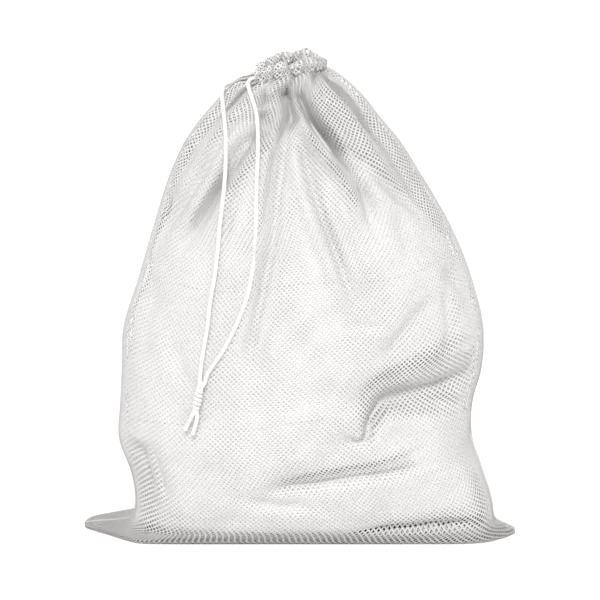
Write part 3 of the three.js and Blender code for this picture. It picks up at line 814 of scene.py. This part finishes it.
# Where the net has its tucks: near the floor, over deep clefts, and this far beyond the laundry that
# touches it, which is further over the belly of the bag
TUCKED_FOOT = 0.014
DEEP_CLEFT = 0.009
CLEAR_BY, BELLY_CLEAR_BY = 0.003, 0.06
BELLY_FROM, BELLY_TO = (0.09, 0.06), (0.38, 0.08)  # heights, and over how much
# At the back: above a height, and from the edges in over the shoulders
BACK_NECK = 0.60
BACK_SHARE = 0.28  # of half the panel's width
BACK_SHOULDER = (0.36, 0.16)

front_x, _, front_z = front_cells.transpose(2, 0, 1)
back_z = back_cells[..., 2]
belly = rising(front_z, *BELLY_FROM) * (1 - rising(front_z, *BELLY_TO))
front_clear = clear_of_laundry(front_x, front_z) > CLEAR_BY + BELLY_CLEAR_BY * belly
front_clear |= (front_z < TUCKED_FOOT) | (fold_height(front_x, front_z, CLEFTS) < -DEEP_CLEFT)
beside = np.abs(np.linspace(-1, 1, back_cells.shape[1]))
back_clear = (back_z > BACK_NECK) | (back_z < TUCKED_FOOT)
back_clear |= beside > 1 - BACK_SHARE * rising(back_z, *BACK_SHOULDER)


def net_and_tucks(name, cells, side, clear):
    net = make_mesh(name, *net_parts(cells, side, HOLE), NET)
    return net, make_mesh(name + "_tucks", *tucked(cells, side, clear), NET)


front_net, front_tucks = net_and_tucks("front_net", front_cells, -1, front_clear)
back_net, back_tucks = net_and_tucks("back_net", back_cells, 1, back_clear)

# ---- The casing: the hem gathered on the drawcord ----
CASING_HEIGHT = 0.0100  # half
CASING_DROP = 1.25  # how much further it reaches down than up
CASING_THICK = 0.0078  # half
CASING_GIRTH = 6.3  # in half heights
CASING_FLAT = 0.62
CASING_HOLE = 0.5
CASING_POINTS = 900
CASING_BACK = 0.75  # how far the gathered edge stands up at the back, against the front
# Where it is pinched into creases, as shares of the way round from its left opening
CREASES = [0.035, 0.085, 0.14, 0.19, 0.235, 0.27, 0.31, 0.355, 0.40, 0.45, 0.51, 0.57, 0.63, 0.69, 0.75, 0.81,
           0.87, 0.94]
CREASE_WIDTH = 0.008
CREASE_DEPTH = 0.47
# Where the gathered edge stands up into humps and drops into a fold: (x, half width, share of height)
CASING_HUMPS = [(0.008, 0.011, 0.38), (-0.012, 0.007, -0.42), (-0.034, 0.014, 0.25)]
# At its right end: from this x, over how much, and how much less it stands up, hangs down and bulges
CASING_SLIM_FROM = (0.010, 0.016)
CASING_SLIM = (0.45, 0.25, 0.25)
CASING_GUIDE_BLUR = 8.0
LINING_RADIUS, LINING_RIPPLE, LINING_PITCH = 0.0037, 0.0004, 0.0045


def casing_cells():
    """The casing's points one cell apart: round it, and along it from its left opening."""
    columns = 2 * round(CASING_FLAT / CELL / 2) + 1
    around = 2 * round(CASING_GIRTH * CASING_HEIGHT / CELL / 2)
    line = even(casing_line, CASING_POINTS)
    outward = unit(np.cross(unit(np.gradient(line, axis=0)), (0.0, 0.0, 1.0)))
    a = np.linspace(0, 1, CASING_POINTS)[None]
    angle = np.linspace(0, 2 * np.pi, around + 1)[:, None]
    pinch = np.zeros((around + 1, CASING_POINTS))
    for k, place in enumerate(CREASES):
        slant = 0.012 * np.sin(angle + 2.4 * k) + 0.005 * np.sin(2 * angle + k)
        width = CREASE_WIDTH * (0.8 + 0.4 * math.sin(5 * k) ** 2)
        strength = 0.6 + 0.4 * math.cos(3 * k)
        pinch = np.maximum(pinch, strength * np.exp(-((a - place - slant) / width) ** 2))
    humps = 1 + 0.07 * np.sin(41 * a) + 0.05 * np.sin(97 * a + 1)
    for x, width, share in CASING_HUMPS:
        humps = humps + share * np.exp(-((line[:, 0] - x) / width) ** 2)
    humps = np.where(line[:, 1] > 0, CASING_BACK * humps, humps)
    size = 1 - CREASE_DEPTH * pinch + 0.07 * np.sin(63 * a + 2 * np.sin(angle)) * np.sin(angle + 1)
    slim = rising(line[:, 0], *CASING_SLIM_FROM)
    up, down, out = (1 - share * slim for share in CASING_SLIM)
    rise = np.sin(angle) * CASING_HEIGHT * np.where(np.sin(angle) > 0, humps * up, CASING_DROP * down)
    grid = (line[None] + outward[None] * (CASING_THICK * np.cos(angle) * size * out)[..., None]
            + np.array((0.0, 0.0, 1.0)) * (rise * size)[..., None])
    taken = length_of(line) * pinch.mean(axis=1, keepdims=True)
    weights = 1 + pinch * (CASING_FLAT - length_of(line)) / taken
    return lay_out(grid, blur(grid, CASING_GUIDE_BLUR, axis=1), weights, columns)


casing = make_mesh("casing_gathered", *net_parts(casing_cells(), 1, CASING_HOLE), NET)
lining = tube("casing_lining", even(casing_line, 300)[4:-4], lambda along, angle: LINING_RADIUS
              + LINING_RIPPLE * np.sin(2 * np.pi * along / LINING_PITCH + angle), 16, NET)

# ---- Seams ----
SEAM_STEP = 0.0015
SEAM_SIDES = 14
SIDE_SEAM_HALF, BOTTOM_SEAM_HALF = 0.0016, 0.0024  # half widths
SEAM_HALF_HEIGHT = 0.0011
SWELL_PITCH = 0.047
SEAM_OUT = 0.0008  # from the panels' edges
SEAM_TURN = 0.02  # under this height the side seams turn upwards, along the flaps
SEAM_LOWEST = 0.0022
BOTTOM_SEAM_Z = 0.0016
STITCH_PITCH = 0.0034
STITCH_STEPS = 12
THREAD_RADIUS = 0.00038
THREAD_LIFT = 1.06


def across(line, out):
    """Two directions square to a line: the one nearest to out, and the other."""
    tangent = unit(np.gradient(line, axis=0))
    out = unit(out - tangent * (out * tangent).sum(axis=1, keepdims=True))
    return out, np.cross(tangent, out)


def seam_parts(line, out, half_width, half_height):
    """A flattened roll of turned-in cloth along a line."""
    out, other = across(line, out)
    angle = np.linspace(0, 2 * np.pi, SEAM_SIDES, endpoint=False)
    along = np.linspace(0, length_of(line), len(line))[:, None]
    stitches, waves = (np.sin(2 * np.pi * along / pitch) for pitch in (STITCH_PITCH, SWELL_PITCH))
    swell = 1 + 0.10 * stitches + 0.08 * waves
    ring = (out[:, None] * (half_width * np.cos(angle) * swell)[..., None]
            + other[:, None] * (half_height * np.sin(angle) * swell)[..., None])
    vertices = (line[:, None] + ring).reshape(-1, 3)
    end = (len(line) - 1) * SEAM_SIDES
    caps = [tuple(range(SEAM_SIDES - 1, -1, -1)), tuple(range(end, end + SEAM_SIDES))]
    return vertices, ring_faces(len(line), SEAM_SIDES) + caps


def stitch_line(line, out, half_width, half_height):
    """Overlock thread wound round the roll."""
    out, other = across(line, out)
    long = length_of(line)
    along = np.linspace(0, long, len(line))
    steps = np.linspace(0, long, int(long / STITCH_PITCH * STITCH_STEPS))
    line, out, other = (read_at(steps, along, values) for values in (line, out, other))
    angle = 2 * np.pi * steps / STITCH_PITCH
    return (line + unit(out) * (half_width * THREAD_LIFT * np.cos(angle))[:, None]
            + unit(other) * (half_height * THREAD_LIFT * np.sin(angle))[:, None])


def sewn_edge(name, line, out, half_width, half_height):
    line = even(line, round(length_of(line) / SEAM_STEP))
    out = read_at(np.linspace(0, 1, len(line)), np.linspace(0, 1, len(out)), out)
    roll = make_mesh(name, *seam_parts(line, out, half_width, half_height), SEAM_CLOTH)
    wound = stitch_line(line, out, half_width, half_height)
    thread = tube(name + "_thread", wound, lambda along, angle: THREAD_RADIUS, 5, THREAD)
    return roll, thread


def side_seam(name, column):
    """Sewn between the panels' edges, from just above the bottom seam."""
    edge = (even(front_cells[:, column], 500) + even(back_cells[:, column], 500))[4:] / 2
    out = np.zeros_like(edge)
    out[:, 0] = -1 if column == 0 else 1
    out[:, 2] = np.where(edge[:, 2] < SEAM_TURN, 0.6, 0.0)
    edge = edge + out * SEAM_OUT
    edge[:, 2] = edge[:, 2].clip(SEAM_LOWEST)
    return sewn_edge(name, edge, out, SIDE_SEAM_HALF, SEAM_HALF_HEIGHT)


left_seam, left_thread = side_seam("side_seam_left", 0)
right_seam, right_thread = side_seam("side_seam_right", -1)

seam_x = np.linspace(-TIP + 0.002, TIP - 0.002, 200)
bottom_line = np.stack([seam_x, np.interp(seam_x, (-TIP, TIP), TIP_Y), np.full(200, BOTTOM_SEAM_Z)], axis=1)
bottom_out = np.tile((0.0, 1.0, 0.0), (200, 1))
bottom_seam, bottom_thread = sewn_edge("bottom_seam_sewn", bottom_line, bottom_out, BOTTOM_SEAM_HALF,
                                       SEAM_HALF_HEIGHT)

# ---- The laundry ----
# Its left and right edges at each height
LOAD_EDGES = np.array([
    (0.003, -0.222, 0.262), (0.06, -0.22, 0.257), (0.13, -0.245, 0.233), (0.188, -0.244, 0.233),
    (0.24, -0.242, 0.245), (0.29, -0.24, 0.249), (0.362, -0.218, 0.226), (0.435, -0.197, 0.19),
    (0.521, -0.168, 0.137), (0.565, -0.146, 0.105), (0.6, -0.113, 0.07), (0.64, -0.08, 0.035),
])
RECESS = 0.050  # how far its front draws back from the net where it doesn't touch
BESIDE_NET = 0.0019
LOAD_ROUNDNESS = 3.2
LOAD_STEP = 0.003
LAP = 0.016  # how far a bundle hangs down over the one under it
LAP_THICKNESS = 0.0004
LAP_GAP = 0.0002
# (name, from, to)
BUNDLES = [("laundry_bottom", 0.004, 0.199), ("laundry_middle", 0.200, 0.393), ("laundry_top", 0.394, 0.622)]
ROUND_CORNER = 0.022
LOAD_TILT = 0.08  # the bundles lie a little higher at the right
DOME = 0.035  # how far below its top the topmost bundle starts to round over
DOME_INSET, DOME_POWER = 0.055, 2.2
SHOULDER = 0.006  # how far under its lap a bundle starts to draw in
TOP_INSET, TOP_ROUNDING = 0.004, 0.005
EDGE_WAVE = 0.004
CRUMPLES = (0.0010, 0.0008)
LEAST_DEPTH = 0.004
SHRINKING = (0.15, 0.4, 0.65, 0.85)  # rings that close a bundle's ends
DEPTH_X = np.linspace(-0.28, 0.28, 225)
DEPTH_Z = np.arange(0.014, 0.640, LOAD_STEP)
DEPTH_REACH = (2, 3)  # how far the innermost net is looked for, in steps of height and of x
DEPTH_BLUR = 1.5


def net_depth(surface):
    """How deep the bag is behind its middle plane, by height and x, at the innermost net nearby."""
    rows = surface[np.argmax(surface[:, surface.shape[1] // 2, 2] > 0.012):]
    heights = rows[:, :, 2].mean(axis=1)
    by_row = np.array([np.interp(DEPTH_X, row[:, 0], np.abs(row[:, 1]), left=0, right=0) for row in rows])
    depth = np.array([np.interp(DEPTH_Z, heights, column) for column in by_row.T]).T
    for axis, reach in enumerate(DEPTH_REACH):
        ends = [(reach, reach) if k == axis else (0, 0) for k in (0, 1)]
        wide, size = np.pad(depth, ends, mode="edge"), depth.shape[axis]
        depth = np.min([np.take(wide, range(k, k + size), axis=axis) for k in range(2 * reach + 1)], axis=0)
    return blur(blur(depth[..., None], DEPTH_BLUR, axis=0), DEPTH_BLUR, axis=1)[..., 0]


DEPTHS = {-1: net_depth(front_surface), 1: net_depth(back_surface)}


def recess():
    """How far the laundry's front draws back from the net."""
    x, z = np.meshgrid(DEPTH_X, DEPTH_Z)
    return RECESS * rising(clear_of_laundry(x, z), -0.002, 0.012) - fold_height(x, z, CLEFTS)


DEPTHS[-1] = (DEPTHS[-1] - recess()).clip(LEAST_DEPTH)


def depth_at(side, x, z):
    k = np.clip((z - DEPTH_Z[0]) / LOAD_STEP, 0, len(DEPTH_Z) - 1.001)
    rows = DEPTHS[side]
    return np.interp(x, DEPTH_X, rows[int(k)] * (1 - k % 1) + rows[int(k) + 1] * (k % 1))


def crumple(side, x, z):
    """Hollows in the laundry, between its folds."""
    wide = 1 + np.sin(46 * x + 61 * z + side + 3 * np.sin(21 * x - 17 * z))
    close = 1 + np.sin(-88 * x + 52 * z + 2 * np.sin(37 * z + 1) + side)
    return CRUMPLES[0] * wide / 2 + CRUMPLES[1] * close / 2


def load_ring(z, inset):
    """The laundry's outline at one height, drawn in by inset."""
    left = np.interp(z, LOAD_EDGES[:, 0], LOAD_EDGES[:, 1]) + inset + EDGE_WAVE * math.sin(70 * z)
    right = np.interp(z, LOAD_EDGES[:, 0], LOAD_EDGES[:, 2]) - inset - EDGE_WAVE * math.sin(83 * z + 1)
    a = -np.cos(np.linspace(0, np.pi, 141))
    x = (left + right) / 2 + (right - left) / 2 * a
    shape = (1 - np.abs(a) ** LOAD_ROUNDNESS) ** (1 / LOAD_ROUNDNESS)
    halves = []
    for side in (-1, 1):
        depth = depth_at(side, x, z) - BESIDE_NET - inset - crumple(side, x, z)
        y = side * depth.clip(LEAST_DEPTH) * shape
        halves.append(np.stack([x, y, np.full_like(x, z)], axis=1))
    return np.vstack([halves[0][:-1], halves[1][:0:-1]])


def bundle(name, low, high):
    """A bundle of towels: the one under it reaches up inside its hanging edge."""
    lapped, topmost = low > ROUND_CORNER, high >= BUNDLES[-1][2]
    rings = []
    if lapped:
        rings += [load_ring(low + 0.001, LAP_THICKNESS + LAP_GAP),
                  load_ring(low - LAP, LAP_THICKNESS + LAP_GAP / 2)]
        low -= LAP
    for z in np.arange(low, high, LOAD_STEP):
        inset = LAP_THICKNESS * max(0.0, 1 - (z - low) / LAP) ** 2 if lapped else 0.0
        if topmost:
            inset += DOME_INSET * max(0.0, 1 - (high - z) / DOME) ** DOME_POWER
        elif z > high - LAP - SHOULDER:
            inset += (LAP_THICKNESS + LAP_GAP) * smoothstep((z - high + LAP + SHOULDER) / SHOULDER)
            inset += TOP_INSET * smoothstep((z - high + TOP_ROUNDING) / TOP_ROUNDING)
        if z < ROUND_CORNER:
            inset += (ROUND_CORNER - z) ** 2 / ROUND_CORNER
        rings.append(load_ring(z, inset))
    for ring in rings:
        tilt = LOAD_TILT * rising(ring[:, 2], 0.02, 0.12)
        ring[:, 2] += tilt * ring[:, 0] + 0.05 * tilt * np.sin(31 * ring[:, 0] + 1)
    first, last = rings[0].mean(axis=0), rings[-1].mean(axis=0)
    rings = [first + (rings[0] - first) * k for k in SHRINKING] + rings
    rings += [last + (rings[-1] - last) * k for k in reversed(SHRINKING)]
    return make_mesh(name + "_terry", *skin(rings, first, last), TERRY)


loads = [bundle(*facts) for facts in BUNDLES]

# ---- What each piece moves with, and what it stands for ----
for piece, node in (
        (front_net, "front_panel"), (back_net, "back_panel"), (casing, "drawcord_casing"),
        (left_seam, "left_side_seam"), (right_seam, "right_side_seam"), (bottom_seam, "bottom_seam"),
        (hidden, "drawcord_in_casing"), (left_run, "drawcord_left_run"), (right_run, "drawcord_right_run"),
        (left_tail, "drawcord_left_tail"), (right_tail, "drawcord_right_tail"), (knot, "drawcord_knot")):
    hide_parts(node)
for load, (node, _, _) in zip(loads, BUNDLES):
    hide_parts(node)
    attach(load, "bag")

mesh = (front_net, front_tucks, back_net, back_tucks, casing, lining)
seams = (left_seam, left_thread, right_seam, right_thread, bottom_seam, bottom_thread)
for slot, pieces in (("mesh", mesh), ("seam", seams)):
    for piece in pieces:
        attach(piece, "bag")
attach(hidden, "bag")
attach(knot, "drawcord")
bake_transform(left_run)
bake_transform(right_run)
for piece in (left_tail, right_tail):
    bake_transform(piece)
